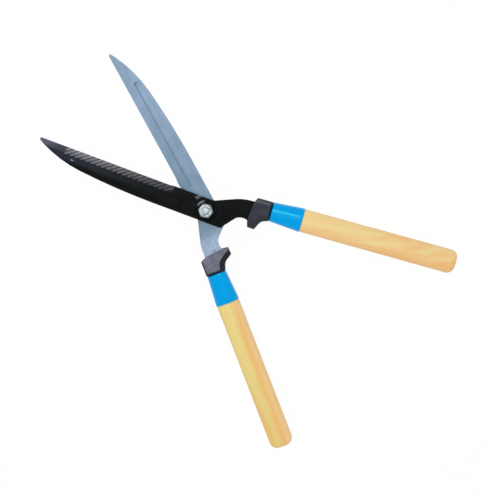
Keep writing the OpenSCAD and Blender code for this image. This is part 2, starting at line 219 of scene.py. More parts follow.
class Effects:
    """Shader node groups that several finishes share, each built once."""

    def __init__(self) -> None:
        """Builds the groups."""
        self.mottle = self._mottle()
        self.streaks = self._streaks()

    @staticmethod
    def _start(name: str, *numbers: str) -> tuple[Wiring, Mapping[str, NodeSocket]]:
        """Starts a group that takes a vector and some numbers and gives a mask."""
        return new_group(name, "Shader", {"Vector": "Vector", **dict.fromkeys(numbers, "Float")}, "Float")

    def _mottle(self) -> NodeTree:
        """Soft clouds, from a noise between two levels."""
        wiring, given = self._start("soft_mottle", "Scale", "Detail", "Low", "High")
        cloud = wiring.noise(given["Vector"], given["Scale"], given["Detail"])
        wiring.node("NodeGroupOutput", {0: wiring.span(cloud, given["Low"], given["High"])})
        return wiring.tree

    def _streaks(self) -> NodeTree:
        """Long streaks along x, from a stretched noise."""
        wiring, given = self._start("long_streaks", "Along", "Across", "Detail", "Low", "High")
        scales = (given["Along"], given["Across"], given["Across"])
        sides = zip(wiring.parts(given["Vector"]), scales)
        stretched = wiring.join(*(wiring.times(side, scale) for side, scale in sides))
        line = wiring.noise(stretched, 1.0, given["Detail"])
        wiring.node("NodeGroupOutput", {0: wiring.span(line, given["Low"], given["High"])})
        return wiring.tree


EFFECTS = Effects()


@dataclass(frozen=True)
class Band:
    """A soft band of colour, square to a lean along and across a piece."""

    colour: Colour
    middle: float
    inner: float
    outer: float
    lean: Range = (0.0, 1.0)
    strength: float = 1.0


@dataclass(frozen=True)
class Rub:
    """An arc of painted highlight round a frame's origin, strongest in one direction."""

    colour: Colour
    radius: float
    width: float
    direction: float
    spread: float


class Paint(Wiring):
    """A material that is being wired, with its coordinates in a piece's own frame."""

    def __init__(self, name: str, place: Matrix) -> None:
        """Starts a material.

        Args:
            name: Name of the material.
            place: The frame, in metres, whose coordinates the pattern follows.
        """
        self.material = bpy.data.materials.new(name)
        self.material.use_nodes = True
        super().__init__(self.material.node_tree)
        self.shader = next(n for n in self.tree.nodes if n.type == "BSDF_PRINCIPLED")
        back = place.inverted()
        feeds = {
            "Vector": self.node("ShaderNodeTexCoord").outputs["Object"],
            "Location": back.to_translation() / MM,
            "Rotation": back.to_euler("XYZ"),
            "Scale": (1 / MM,) * 3,
        }
        self.spot = self.node("ShaderNodeMapping", feeds, vector_type="POINT").outputs[0]
        self.along, self.across, self.depth = self.parts(self.spot)

    def effect(self, group: NodeTree, **inputs: Source) -> NodeSocket:
        """Places a shared group, which follows the piece's frame unless it gets a Vector."""
        return self.node("ShaderNodeGroup", {"Vector": self.spot, **inputs}, node_tree=group).outputs[0]

    def lean(self, way: Range) -> NodeSocket:
        """Gives how far a place lies along a way across the frame."""
        return self.math("ADD", self.times(self.along, way[0]), self.times(self.across, way[1]))

    def reach(self, middle: Range = (0.0, 0.0), radii: Range = (1.0, 1.0)) -> NodeSocket:
        """Gives how far a place is from a middle, in shares of two radii.

        Args:
            middle: The middle, along and across.
            radii: What counts as 1, along and across.

        Returns:
            The distance.
        """
        sides = zip((self.along, self.across), middle, radii)
        x, y = (self.math("DIVIDE", self.math("SUBTRACT", side, at), size) for side, at, size in sides)
        return self.math("SQRT", self.math("ADD", self.times(x, x), self.times(y, y)))

    def bands(self, colour: Source, bands: Sequence[Band]) -> Source:
        """Lays soft bands over a colour, one after another."""
        for band in bands:
            off = self.away(self.lean(band.lean), band.middle)
            share = self.span(off, band.inner, band.outer, band.strength, 0.0)
            colour = self.mix(share, colour, band.colour)
        return colour

    def rubs(self, colour: Source, rubs: Sequence[Rub]) -> Source:
        """Lays patchy arcs of painted highlight round the frame's origin over a colour, one after another.
        """
        out = self.reach()
        cloud = self.effect(EFFECTS.mottle, Scale=0.5, Detail=4.0, Low=0.3, High=0.6)
        patchy = self.between(cloud, (0.4, 1.0))
        for lightening in rubs:
            turn = math.radians(lightening.direction)
            ahead = self.lean((math.cos(turn), math.sin(turn)))
            facing = self.math("DIVIDE", ahead, self.math("MAXIMUM", out, 0.01))
            ring = self.span(self.away(out, lightening.radius), 0.0, lightening.width, 1.0, 0.0)
            arc = self.span(facing, math.cos(math.radians(lightening.spread)), 1.0)
            colour = self.mix(self.times(ring, patchy, arc), colour, lightening.colour)
        return colour

    def put(self, **sockets: Source) -> None:
        """Feeds the shader's sockets, with underscores for the spaces in their names."""
        for label, value in sockets.items():
            self.feed(self.shader.inputs[label.replace("_", " ")], value)

    def bump(self, height: NodeSocket, strength: float, depth: float) -> None:
        """Adds a relief from a mask of its height."""
        feeds = {"Strength": strength, "Distance": depth * MM, "Height": height}
        self.put(Normal=self.node("ShaderNodeBump", feeds).outputs[0])


class Finish:
    """A surface that wires its own material."""

    def wire(self, paint: Paint) -> None:
        """Wires the surface's colours, gloss and relief into a material."""
        raise NotImplementedError

    def material(self, name: str, place: Matrix) -> Material:
        """Makes a material.

        Args:
            name: Name of the material.
            place: Frame, in metres, of the piece that wears it.

        Returns:
            The material.
        """
        paint = Paint(name, place)
        self.wire(paint)
        return paint.material


@dataclass(frozen=True)
class SatinSteel(Finish):
    """Rolled satin blade steel, with painted shade along its rib's wall and end and a painted tang
    highlight.
    """

    base: Colour = shown(112, 134, 152)
    light: Colour = shown(143, 164, 184)
    shade: Colour = shown(78, 100, 118)
    bright: Colour = shown(176, 191, 211)
    cloud_share: float = 0.22
    line_along: Range = (-40.0, 10.0)
    line_share: Range = (0.03, 0.1)
    light_along: Range = (20.0, 190.0)
    light_share: float = 0.62
    back_across: Range = (0.0, 4.0)
    back_share: float = 0.16
    tang: Range = (-17.0, -46.0)
    tang_share: Range = (0.5, 0.85)
    wall: float = 2.9
    wall_width: Range = (0.2, 2.4)
    wall_share: float = 0.13
    wall_start: Range = (34.0, 56.0)
    wall_end: Range = (166.8, 170.8)
    arc_middle: Range = (169.5, 0.1)
    arc_radius: float = 2.7
    arc_width: Range = (0.4, 2.1)
    arc_share: float = 0.55
    arc_along: Range = (166.0, 170.0)
    arc_across: Range = (-2.6, 1.4)
    faint: Range = (0.4, 1.0)
    roughness: Range = (0.67, 0.71)

    def wire(self, paint: Paint) -> None:
        """Wires faintly streaked steel, lighter to the tip, with a painted tang highlight and painted rib
        shade.
        """
        cloud = paint.effect(EFFECTS.mottle, Scale=0.055, Detail=4.0, Low=0.36, High=0.64)
        line = paint.effect(EFFECTS.streaks, Along=0.012, Across=0.5, Detail=5.0, Low=0.35, High=0.65)
        share = paint.total(
            paint.times(cloud, self.cloud_share),
            paint.times(line, paint.span(paint.along, *self.line_along, *self.line_share)),
            paint.span(paint.along, *self.light_along, 0.0, self.light_share),
            paint.span(paint.across, *self.back_across, self.back_share, 0.0),
        )
        patch = paint.effect(EFFECTS.mottle, Scale=0.14, Detail=3.0, Low=0.3, High=0.62)
        # Painted highlight: a patchy brightening of the tang towards the bumper.
        glow = paint.times(paint.span(paint.along, *self.tang), paint.between(patch, self.tang_share))
        steel = paint.mix(glow, paint.mix(share, self.base, self.light), self.bright)
        # The rib's painted shade darkens the steel along the groove's wall and round its end.
        paint.put(Base_Color=paint.mix(self.rib_shade(paint), steel, self.shade))
        paint.put(Metallic=1.0, Roughness=paint.between(line, self.roughness))
        paint.bump(line, strength=0.07, depth=0.02)

    def rib_shade(self, paint: Paint) -> NodeSocket:
        """Mask of the painted shade along the rib's wall on the edge side and round its end."""
        along, across = paint.along, paint.across
        wall = paint.times(
            paint.span(paint.away(across, self.wall), *self.wall_width, self.wall_share, 0.0),
            paint.span(along, *self.wall_start, *self.faint),
            paint.span(along, *self.wall_end, 1.0, 0.0),
        )
        off = paint.away(paint.reach(self.arc_middle), self.arc_radius)
        arc = paint.times(
            paint.span(off, *self.arc_width, self.arc_share, 0.0),
            paint.span(along, *self.arc_along),
            paint.span(across, *self.arc_across, *self.faint),
        )
        return paint.math("MAXIMUM", wall, arc)


@dataclass(frozen=True)
class BlackCoating(Finish):
    """Thin black coating on steel, with a painted sheen to the edge and a painted glint drawn as bare steel.
    """

    rubs: tuple[Rub, ...]
    bare_spot: Range | None = None
    bare_radii: Range = (3.0, 1.5)
    bare_depth: Range = (-1.8, -1.2)
    bare_metallic: float = 0.6
    base: Colour = shown(3, 5, 5)
    # The lighter grey that the clouds and, on a blade, the painted sheen mix in.
    rubbed: Colour = shown(43, 48, 57)
    scratch: Colour = shown(70, 74, 82)
    bare: Colour = shown(140, 146, 151)
    rub_across: Range = (-6.0, 1.5)
    rub_along: Range = (25.0, 178.0)
    rub_share: float = 0.78
    cloud_share: float = 0.07
    scratch_share: float = 0.16
    roughness: Range = (0.4, 0.52)
    gloss: float = 0.045

    def wire(self, paint: Paint) -> None:
        """Wires a coat, with painted sheen to the edge and tip, scratches, and painted arcs and glint."""
        cloud = paint.effect(EFFECTS.mottle, Scale=0.05, Detail=5.0, Low=0.4, High=0.66)
        line = paint.effect(EFFECTS.streaks, Along=0.03, Across=1.1, Detail=2.0, Low=0.64, High=0.74)
        skin = paint.effect(EFFECTS.mottle, Scale=1.6, Detail=2.0, Low=0.3, High=0.7)
        # Painted sheen: the coat greys towards the cutting edge and along to the tip.
        side = paint.times(
            paint.span(paint.across, *self.rub_across), paint.span(paint.along, *self.rub_along)
        )
        lightening = paint.total(paint.times(cloud, self.cloud_share), paint.times(side, self.rub_share))
        coat = paint.mix(lightening, self.base, self.rubbed)
        coat = paint.rubs(paint.mix(paint.times(line, self.scratch_share), coat, self.scratch), self.rubs)
        # The painted glint at the rib's end is drawn as a partly metallic spot of bare steel.
        if self.bare_spot:
            glint_share = self.bare_mask(paint)
            coat = paint.mix(glint_share, coat, self.bare)
            paint.put(Metallic=paint.times(glint_share, self.bare_metallic))
        paint.put(Base_Color=coat, Specular_IOR_Level=self.gloss)
        paint.put(Roughness=paint.between(cloud, self.roughness))
        paint.bump(skin, strength=0.1, depth=0.03)

    def bare_mask(self, paint: Paint) -> NodeSocket:
        """Mask of the painted glint, drawn as bare steel on the outer face: 1 in its middle, 0 away from it.
        """
        spot = paint.span(paint.reach(self.bare_spot, self.bare_radii), 0.1, 1.0, 1.0, 0.0)
        return paint.times(spot, paint.span(paint.depth, *self.bare_depth, 1.0, 0.0))


@dataclass(frozen=True)
class GroundSteel(Finish):
    """Steel ground after coating, duller towards the pivot and away from the edge."""

    near: Colour
    far: Colour
    # A lighter colour towards the tip, which on the black bevel is a painted reflection.
    tip: Colour | None = None
    marks: float = 0.25
    fade: float = 0.5
    # The darker tone that the wheel marks and the inner side of the grinding mix in.
    grime: Colour = shown(26, 27, 31)
    far_along: Range = (45.0, 176.0)
    tip_along: Range = (188.0, 208.0)
    fade_across: Range = (4.0, 13.0)
    roughness: Range = (0.58, 0.7)

    def wire(self, paint: Paint) -> None:
        """Wires the ground steel with fine wheel marks across it."""
        mark = paint.effect(EFFECTS.streaks, Along=1.8, Across=0.12, Detail=3.0, Low=0.35, High=0.65)
        tone = paint.mix(paint.span(paint.along, *self.far_along), self.near, self.far)
        if self.tip:
            tone = paint.mix(paint.span(paint.along, *self.tip_along), tone, self.tip)
        tone = paint.mix(paint.span(paint.across, *self.fade_across, self.fade, 0.0), tone, self.grime)
        paint.put(Base_Color=paint.mix(paint.times(mark, self.marks), tone, self.grime))
        paint.put(Metallic=1.0, Roughness=paint.between(mark, self.roughness))
        paint.bump(mark, strength=0.15, depth=0.02)


@dataclass(frozen=True)
class ZincSteel(Finish):
    """Bright zinc plate, cloudy, with painted shade towards the corners."""

    base: Colour = shown(154, 163, 167)
    dull: Colour = shown(118, 126, 130)
    corner: Colour = shown(94, 100, 104)
    corner_r: Range = (6.4, 9.2)
    cloud_share: float = 0.8
    roughness: Range = (0.48, 0.58)

    def wire(self, paint: Paint) -> None:
        """Wires cloudy plate with painted shade away from the pivot's axis."""
        cloud = paint.effect(EFFECTS.mottle, Scale=0.22, Detail=4.0, Low=0.4, High=0.66)
        plate = paint.mix(paint.times(cloud, self.cloud_share), self.base, self.dull)
        corner = paint.span(paint.reach(), *self.corner_r)
        paint.put(Base_Color=paint.mix(corner, plate, self.corner))
        paint.put(Metallic=1.0, Roughness=paint.between(cloud, self.roughness))


@dataclass(frozen=True)
class Nylon(Finish):
    """Milky nylon."""

    base: Colour = shown(232, 234, 230)
    shade: Colour = shown(214, 217, 212)
    roughness: Range = (0.4, 0.5)

    def wire(self, paint: Paint) -> None:
        """Wires faint clouds."""
        cloud = paint.effect(EFFECTS.mottle, Scale=0.4, Detail=2.0, Low=0.4, High=0.6)
        paint.put(Base_Color=paint.mix(cloud, self.base, self.shade))
        paint.put(Roughness=paint.between(cloud, self.roughness))


@dataclass(frozen=True)
class BumperPlastic(Finish):
    """Moulded plastic with a fine grained skin, scuffed lighter where it is rubbed."""

    base: Colour
    rubbed: Colour
    bands: tuple[Band, ...] = ()
    cloud_share: float = 0.75
    grain_share: float = 0.2
    roughness: Range = (0.45, 0.6)
    gloss: float = 0.2

    def wire(self, paint: Paint) -> None:
        """Wires scuffs, the bands over them and the grain."""
        cloud = paint.effect(EFFECTS.mottle, Scale=0.09, Detail=4.0, Low=0.36, High=0.66)
        grain = paint.effect(EFFECTS.mottle, Scale=1.4, Detail=3.0, Low=0.35, High=0.65)
        share = paint.total(paint.times(cloud, self.cloud_share), paint.times(grain, self.grain_share))
        paint.put(Base_Color=paint.bands(paint.mix(share, self.base, self.rubbed), self.bands))
        paint.put(Roughness=paint.between(grain, self.roughness), Specular_IOR_Level=self.gloss)
        paint.bump(grain, strength=0.3, depth=0.05)


@dataclass(frozen=True)
class BluePaint(Finish):
    """Glossy blue paint over steel, with a slight orange peel and painted shade at its front rim."""

    base: Colour = shown(0, 162, 236)
    deep: Colour = shown(0, 157, 230)
    # Painted shade where the ferrule's front rim meets the bumper.
    rim: Colour = shown(0, 78, 126)
    rim_along: Range = (0.3, 1.5)
    sheen: Colour = (0.09, 0.6, 0.35, 1.0)
    gloss: float = 0.5
    roughness: Range = (0.18, 0.21)

    def wire(self, paint: Paint) -> None:
        """Wires the paint, the painted shade at its rim and its peel."""
        cloud = paint.effect(EFFECTS.mottle, Scale=0.05, Detail=2.0, Low=0.38, High=0.62)
        peel = paint.effect(EFFECTS.mottle, Scale=0.45, Detail=1.0, Low=0.3, High=0.7)
        coat = paint.mix(cloud, self.base, self.deep)
        paint.put(Base_Color=paint.mix(paint.span(paint.along, *self.rim_along, 1.0, 0.0), coat, self.rim))
        paint.put(Specular_IOR_Level=self.gloss, Specular_Tint=self.sheen)
        paint.put(Roughness=paint.between(cloud, self.roughness))
        paint.bump(peel, strength=0.02, depth=0.04)


@dataclass(frozen=True)
class PaleWood(Finish):
    """Varnished pale wood, from yellow to orange, with a long grain that wanders along the handle."""

    yellow: Colour
    orange: Colour
    pore: Colour = shown(190, 142, 82)
    slant: float = 0.02
    wander: float = 3.0
    warmth: float = 0.12
    side: Range = (-2.0, 6.0)
    side_share: float = 0.62
    far: Range = (80.0, 200.0)
    far_share: float = 0.4
    figure_along: Range = (0.0, 1.0)
    figure_share: float = 0.5
    figure_front: float = 0.35
    grain_share: float = 0.28
    pore_share: float = 0.18
    bands: tuple[Band, ...] = ()
    roughness: Range = (0.42, 0.54)
    gloss: float = 0.25

    def wire(self, paint: Paint) -> None:
        """Wires the figure, the bands over it, the grain and the pores, all along the bent grain."""
        lines, along = EFFECTS.streaks, paint.along
        drift = paint.effect(lines, Along=0.022, Across=0.05, Detail=2.0, Low=0.25, High=0.75)
        bend = paint.times(paint.math("SUBTRACT", drift, 0.5), 2 * self.wander)
        lie = paint.math("ADD", paint.across, bend)
        grown = paint.join(along, paint.math("ADD", lie, paint.times(along, self.slant)), paint.depth)
        figure = paint.effect(lines, Vector=grown, Along=0.009, Across=0.13, Detail=3.0, Low=0.34, High=0.66)
        grain = paint.effect(lines, Vector=grown, Along=0.016, Across=0.55, Detail=5.0, Low=0.38, High=0.68)
        pores = paint.effect(lines, Vector=grown, Along=0.1, Across=3.0, Detail=2.0, Low=0.58, High=0.74)
        front = self.figure_front * self.figure_share
        strength = paint.span(along, *self.figure_along, front, self.figure_share)
        warm = paint.total(
            paint.times(paint.math("SUBTRACT", figure, 0.5), strength),
            paint.span(lie, *self.side, self.warmth, self.warmth + self.side_share),
            paint.span(along, *self.far, 0.0, self.far_share),
        )
        tone = paint.bands(paint.mix(warm, self.yellow, self.orange), self.bands)
        tone = paint.mix(paint.times(grain, self.grain_share), tone, self.orange)
        paint.put(Base_Color=paint.mix(paint.times(pores, self.pore_share), tone, self.pore))
        paint.put(Roughness=paint.between(grain, self.roughness), Specular_IOR_Level=self.gloss)
        paint.bump(pores, strength=0.12, depth=0.04)


class OvalSweep:
    """Geometry Nodes tree that lays a squarish oval round every row of a profile."""

    AROUND = 96
    SHARP = 40.0

    def __init__(self) -> None:
        """Builds the tree."""
        inputs = {"Rows": "Geometry", "Around": "Int", "Squareness": "Float", "Material": "Material"}
        wiring, given = new_group("oval_sweep", "Geometry", inputs, "Geometry")
        self.tree = wiring.tree
        self._wire(wiring, given)

    @staticmethod
    def _wire(wiring: Wiring, given: Mapping[str, NodeSocket]) -> None:
        """Wires a grid whose rows follow the profile and whose columns go round.

        Args:
            wiring: The tree's wiring.
            given: The tree's inputs by name.
        """
        rows, around = given["Rows"], given["Around"]
        count = wiring.node("GeometryNodeAttributeDomainSize", {"Geometry": rows}, component="MESH")
        columns = wiring.math("ADD", around, 1.0)
        feeds = {"Vertices X": count.outputs["Point Count"], "Vertices Y": columns}
        grid = wiring.node("GeometryNodeMeshGrid", feeds)
        index = wiring.node("GeometryNodeInputIndex").outputs[0]
        row = wiring.math("FLOOR", wiring.math("DIVIDE", index, columns))
        column = wiring.math("SUBTRACT", index, wiring.times(row, columns))
        angle = wiring.times(wiring.math("DIVIDE", column, around), math.tau)
        position = wiring.node("GeometryNodeInputPosition").outputs[0]
        feeds = {"Geometry": rows, "Value": position, "Index": row}
        station = wiring.node("GeometryNodeSampleIndex", feeds, data_type="FLOAT_VECTOR", domain="POINT")
        along, half_width, half_height = wiring.parts(station.outputs[0])
        power = wiring.math("DIVIDE", 2.0, given["Squareness"])

        def side(turn: str, half_size: NodeSocket) -> NodeSocket:
            """One coordinate of the oval, from a cosine or sine."""
            wave = wiring.math(turn, angle)
            bent = wiring.math("POWER", wiring.math("ABSOLUTE", wave), power)
            return wiring.times(wiring.math("SIGN", wave), bent, half_size)

        oval = wiring.join(along, side("COSINE", half_width), side("SINE", half_height))
        feeds = {"Geometry": grid.outputs["Mesh"], "Position": oval}
        laid = wiring.node("GeometryNodeSetPosition", feeds).outputs[0]
        feeds = {"Geometry": laid, "Distance": MERGE}
        merged = wiring.node("GeometryNodeMergeByDistance", feeds).outputs[0]
        real = wiring.node("GeometryNodeRealizeInstances", {0: merged}).outputs[0]
        feeds = {"Geometry": real, "Material": given["Material"]}
        wiring.node("NodeGroupOutput", {0: wiring.node("GeometryNodeSetMaterial", feeds).outputs[0]})

    def make(
        self, node: str, rows: Sequence[Row], squareness: float, place: Matrix, material: Material
    ) -> Object:
        """Sweeps a piece.

        Args:
            node: The CAD node that the piece stands for.
            rows: Place along the axis, width and height of each row.
            squareness: Power of the oval, where 2 is an ellipse.
            place: Where the profile's frame lies, in metres.
            material: The piece's material.

        Returns:
            The piece, with its place in its mesh.
        """
        profile = bpy.data.meshes.new(f"{node}_rows")
        points = [(x * MM, w / 2 * MM, h / 2 * MM) for x, w, h in rows]
        profile.from_pydata(points, [(i, i + 1) for i in range(len(points) - 1)], [])
        piece = link(bpy.data.objects.new(f"{node}_dressed", profile))
        sweep = piece.modifiers.new("sweep", "NODES")
        sweep.node_group = self.tree
        keys = {s.name: s.identifier for s in self.tree.interface.items_tree if s.in_out == "INPUT"}
        sweep[keys["Around"]] = self.AROUND
        sweep[keys["Squareness"]] = squareness
        sweep[keys["Material"]] = material
        made = bpy.data.meshes.new_from_object(piece.evaluated_get(bpy.context.evaluated_depsgraph_get()))
        piece.modifiers.remove(sweep)
        made.transform(place)
        piece.data = made
        finish_mesh(made, self.SHARP)
        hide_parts(node)
        return piece


def link(piece: Object) -> Object:
    """Puts a new object into the scene."""
    bpy.context.scene.collection.objects.link(piece)
    return piece


def smooth(mesh: Mesh, sharp: float) -> None:
    """Smooths a mesh, apart from edges sharper than an angle."""
    mesh.shade_smooth()
    mesh.set_sharp_from_angle(angle=math.radians(sharp))


def finish_mesh(mesh: Mesh, sharp: float) -> None:
    """Turns a closed mesh's faces outwards and smooths it up to an angle."""
    work = bmesh.new()
    work.from_mesh(mesh)
    bmesh.ops.recalc_face_normals(work, faces=work.faces)
    work.to_mesh(mesh)
    work.free()
    smooth(mesh, sharp)


def solid_copy(node: str, flat: float) -> Object:
    """Copies a CAD node's shape into a new piece with its flat faces joined.

    Args:
        node: The CAD node.
        flat: Angle up to which neighbouring faces count as one.

    Returns:
        The piece, which stands for the node.
    """
    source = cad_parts[node].data
    piece = f"{node}_dressed"
    mesh = bpy.data.meshes.new(piece)
    mesh.from_pydata([v.co for v in source.vertices], [], [list(p.vertices) for p in source.polygons])
    work = bmesh.new()
    work.from_mesh(mesh)
    bmesh.ops.remove_doubles(work, verts=work.verts, dist=MERGE)
    limit = math.radians(flat)
    bmesh.ops.dissolve_limit(work, angle_limit=limit, verts=work.verts, edges=work.edges)
    work.to_mesh(mesh)
    work.free()
    made = link(bpy.data.objects.new(piece, mesh))
    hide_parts(node)
    return made


def soften(piece: Object, width: float, angle: float, segments: int, sharp: float) -> None:
    """Rounds a piece's edges with a live bevel and smooths its faces.

    Args:
        piece: The piece.
        width: Width of the rounding in millimetres.
        angle: Angle past which an edge is rounded.
        segments: Steps across the rounding.
        sharp: Angle past which an edge of the faces stays sharp.
    """
    smooth(piece.data, sharp)
    bevel = piece.modifiers.new("edge", "BEVEL")
    bevel.width = width * MM
    bevel.segments = segments
    bevel.limit_method = "ANGLE"
    bevel.angle_limit = math.radians(angle)
    bevel.harden_normals = True


def coat_faces(piece: Object, place: Matrix, materials: Sequence[Material], choose: Chooser) -> None:
    """Gives each face of a piece one of several materials.

    Args:
        piece: The piece.
        place: Frame, in metres, in which the faces are looked at.
        materials: The materials.
        choose: Picks a material from a face's centre in millimetres and its normal.
    """
    back = place.inverted()
    turn = back.to_3x3()
    for material in materials:
        piece.data.materials.append(material)
    for face in piece.data.polygons:
        face.material_index = choose(back @ face.center / MM, turn @ face.normal)


def settle(piece: Object, half: Half) -> None:
    """Lets a finished piece ride on its half and logs it.

    Args:
        piece: The piece.
        half: The half that it moves with.
    """
    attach(piece, half.value)
    LOG.info("%s: %d faces, rides on %s", piece.name, len(piece.data.polygons), half.value)


def quarter(steps: int) -> list[float]:
    """Angles in radians from 0 to a right angle, in equal steps."""
    return [i * math.pi / 2 / steps for i in range(steps + 1)]


class BladeZone(IntEnum):
    """What a face of a blade belongs to, which is also the number of its material."""

    PLAIN = 0
    BEVEL = 1
    FLUTE = 2
    FAR_WALL = 3


@dataclass
class Blade:
    """A stamped blade with its tang, copied from its solid and given softened edges."""

    half: Half
    edge_offset: float = 13.5
    bevel_w: float = 7.2
    edge_land: float = 0.9
    thickness: float = 3.2
    ground_from: float = 43.5
    ground_share: float = 1.35
    flute_normal: float = -0.4
    wall_normal: Range = (0.6, 0.9)
    wall_lean: float = 0.2
    wall_end: float = 176.0
    flat_cosine: float = 0.9995
    # Middle of the painted glint, drawn as bare steel, at the end of the black blade's rib.
    bare_spot: Range = (170.4, 0.6)
    rounding: float = 0.18

    def build(self) -> Object:
        """Copies the solid."""
        return solid_copy(f"{self.half.word}_blade", flat=0.5)

    def zone(self, centre: Vector, normal: Vector) -> BladeZone:
        """Says what a face belongs to.

        Args:
            centre: The face's centre, x to the tip and y to the edge.
            normal: The face's normal.

        Returns:
            The face's zone.
        """
        tilt = math.atan2(self.thickness - self.edge_land, self.bevel_w)
        slope = Vector((0, math.sin(tilt), -math.cos(tilt)))
        crest = self.edge_offset - self.ground_share * self.bevel_w
        if centre.x > self.ground_from and centre.y > crest:
            if normal.dot(slope) > self.flat_cosine:
                return BladeZone.BEVEL
            if -self.flat_cosine < normal.z < self.flute_normal:
                return BladeZone.FLUTE
        low, high = self.wall_normal
        leans = low < normal.z < high and max(normal.x, normal.y) > self.wall_lean
        if leans and 0 < centre.x < self.wall_end:
            return BladeZone.FAR_WALL
        return BladeZone.PLAIN

    def grey_steels(self, place: Matrix) -> list[Material]:
        """The materials of the grey blade's zones, in the order of their numbers."""
        plain = SatinSteel().material("satin_steel", place)
        ground = GroundSteel(shown(142, 157, 172), shown(158, 171, 184), marks=0.1, fade=0.0)
        bevel = ground.material("grey_bevel", place)
        # The far walls get a lighter copy of the steel: painted light that cancels the shade they fall in.
        lit_far_wall = SatinSteel(shown(138, 162, 180), shown(170, 193, 212))
        return [plain, bevel, bevel, lit_far_wall.material("grey_far_wall", place)]

    def black_steels(self, place: Matrix) -> list[Material]:
        """The materials of the black blade's zones, in the order of their numbers."""
        # Painted highlight: an arc along the edge of the pivot boss.
        boss_glint = Rub(shown(122, 122, 124), radius=19.4, width=3.4, direction=44.0, spread=18.0)
        coat = BlackCoating((boss_glint,), self.bare_spot).material("black_coating", place)
        # The black bevel's lighter tip colour is a painted reflection.
        ground = GroundSteel(shown(48, 49, 54), shown(76, 80, 90), shown(99, 103, 119))
        flute = GroundSteel(shown(90, 90, 94), shown(142, 140, 146))
        return [coat, ground.material("black_bevel", place), flute.material("black_flutes", place), coat]

    def dress(self, piece: Object) -> None:
        """Gives the faces their finishes and softens the edges."""
        place = STANCE.blade(self.half)
        steels = self.grey_steels if self.half is Half.GREY else self.black_steels
        coat_faces(piece, place, steels(place), self.zone)
        soften(piece, self.rounding, angle=50.0, segments=2, sharp=25.0)

    def make(self) -> None:
        """Builds, dresses and settles the blade."""
        piece = self.build()
        self.dress(piece)
        settle(piece, self.half)


class BumperZone(IntEnum):
    """What a face of a bumper belongs to, which is also the number of its material."""

    FLANK = 0
    TOP = 1
    BEVEL = 2
    REAR = 3


@dataclass
class Bumper:
    """A stop bumper on a tang, copied from its solid, with rounded mould edges."""

    half: Half
    top_z: float = 10.5
    top_normal: float = 0.97
    rear_from: float = -4.0
    rear_normal: float = 0.5
    bevel_normal: float = -0.3
    rounding: float = 0.5

    def build(self) -> Object:
        """Copies the solid."""
        return solid_copy(f"{self.half.word}_bumper", flat=0.05)

    def zone(self, centre: Vector, normal: Vector) -> BumperZone:
        """Says what a face belongs to.

        Args:
            centre: The face's centre, x along the handle and y towards the other handle.
            normal: The face's normal.

        Returns:
            The face's zone, where the underside counts as top.
        """
        if abs(normal.z) > self.top_normal and abs(centre.z) > self.top_z:
            return BumperZone.TOP
        if normal.x > self.rear_normal and centre.x > self.rear_from:
            return BumperZone.REAR
        return BumperZone.BEVEL if normal.y < self.bevel_normal else BumperZone.FLANK

    def skins(self) -> dict[BumperZone, BumperPlastic]:
        """The plastic of each zone, in the order of their numbers; light and shade are painted in."""
        # Painted shade in the groove between the bumper and the ferrule.
        groove_shade = Band(shown(14, 44, 66), middle=8.0, inner=10.2, outer=12.4, lean=(1.0, 0.0))
        if self.half is Half.GREY:
            # Grey half: the flank, the bevel and the rear are painted shade, and the top's lighter colour is
            # a painted sheen.
            return {
                BumperZone.FLANK: BumperPlastic(shown(8, 8, 12), shown(20, 21, 26)),
                BumperZone.TOP: BumperPlastic(shown(97, 101, 113), shown(119, 124, 138), (groove_shade,)),
                BumperZone.BEVEL: BumperPlastic(shown(40, 42, 47), shown(58, 61, 68)),
                BumperZone.REAR: BumperPlastic(shown(10, 28, 42), shown(14, 38, 58)),
            }
        # Black half: painted highlight along the ridge between the top and the outer bevel.
        ridge_highlight = Band(shown(80, 88, 95), middle=-8.0, inner=0.6, outer=2.2, strength=0.9)
        # Painted highlight on the outer side of the top, and painted shade on its inner side.
        outside = Band(shown(56, 62, 67), middle=-15.0, inner=4.6, outer=6.0)
        inside = Band(shown(30, 33, 38), middle=26.0, inner=4.5, outer=13.0)
        light_and_shade_bands = (ridge_highlight, outside, inside, groove_shade)
        # The flank and the rear are painted shade, and the lighter bevel is a painted highlight.
        return {
            BumperZone.FLANK: BumperPlastic(shown(30, 33, 37), shown(42, 45, 50)),
            BumperZone.TOP: BumperPlastic(shown(33, 35, 48), shown(48, 51, 67), light_and_shade_bands),
            BumperZone.BEVEL: BumperPlastic(shown(52, 57, 62), shown(66, 71, 76)),
            BumperZone.REAR: BumperPlastic(shown(8, 26, 38), shown(10, 36, 54)),
        }

    def dress(self, piece: Object) -> None:
        """Gives the faces their finishes and rounds the edges."""
        place = STANCE.seat(self.half)
        materials = [
            skin.material(f"{self.half.word}_bumper_{zone.name.lower()}", place)
            for zone, skin in self.skins().items()
        ]
        coat_faces(piece, place, materials, self.zone)
        soften(piece, self.rounding, angle=25.0, segments=3, sharp=25.0)

    def make(self) -> None:
        """Builds, dresses and settles the bumper."""
        piece = self.build()
        self.dress(piece)
        settle(piece, self.half)


